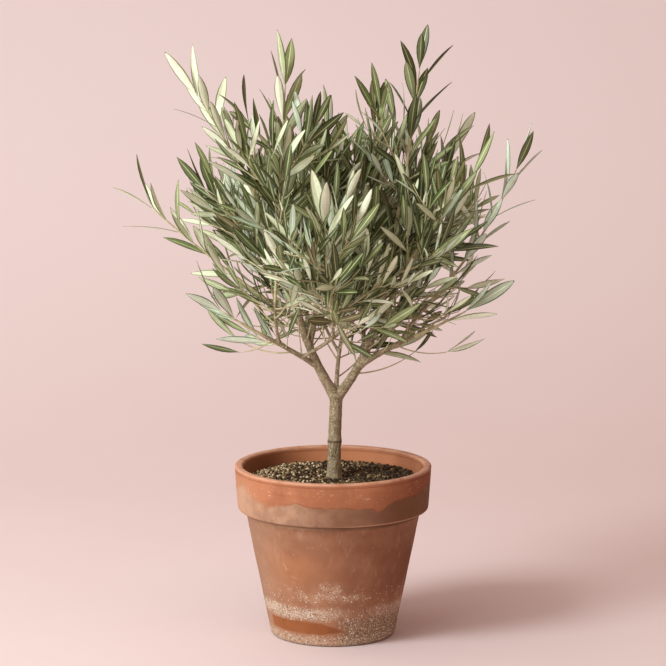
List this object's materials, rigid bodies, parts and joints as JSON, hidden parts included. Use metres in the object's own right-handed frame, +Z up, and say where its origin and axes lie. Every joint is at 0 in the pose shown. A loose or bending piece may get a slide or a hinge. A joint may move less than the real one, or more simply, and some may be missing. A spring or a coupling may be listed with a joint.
{
  "type": "potted olive tree",
  "caption": "Young olive tree with an open, branching crown of narrow leaves, growing in a round tapered clay pot with a deep rim.",
  "frame": {"origin": "centre of the pot's flat underside, which stands on the ground", "axes": "+Z up; the tree's front faces -Y, with its far-left and far-right shoots along -X and +X"},
  "size_m": [0.5357, 0.4176, 0.7752],
  "materials": {
    "clay": "matt, weathered, unglazed",
    "grit": "loose rounded grains",
    "bark": "rough, grey-brown",
    "leaf": "satin above, pale and matt beneath"
  },
  "bodies": {
    "root": {"pot": "clay", "soil": "grit", "trunk": "bark", "bough_left": "bark", "bough_right": "bark", "bough_centre": "bark", "bough_centre_left": "bark", "bough_low_left": "bark", "bough_crossing": "bark", "bough_front": "bark", "bough_front_left": "bark", "bough_left_inner": "bark", "bough_left_outer": "bark", "bough_back_left": "bark", "bough_rear_left": "bark", "bough_low_right": "bark", "bough_right_outer": "bark", "bough_right_inner": "bark", "bough_back_right": "bark", "bough_rear_right": "bark", "foliage_far_left": "leaf", "foliage_upper_left": "leaf", "foliage_front_left": "leaf", "foliage_top_middle": "leaf", "foliage_top_right": "leaf", "foliage_front_right": "leaf", "foliage_far_right": "leaf", "foliage_low_left": "leaf", "foliage_low_right": "leaf", "foliage_front": "leaf", "foliage_centre": "leaf", "foliage_right": "leaf", "foliage_back_left": "leaf", "foliage_back_middle": "leaf", "foliage_back_right": "leaf", "foliage_rear_left": "leaf", "foliage_rear_right": "leaf"}
  },
  "joints": []
}
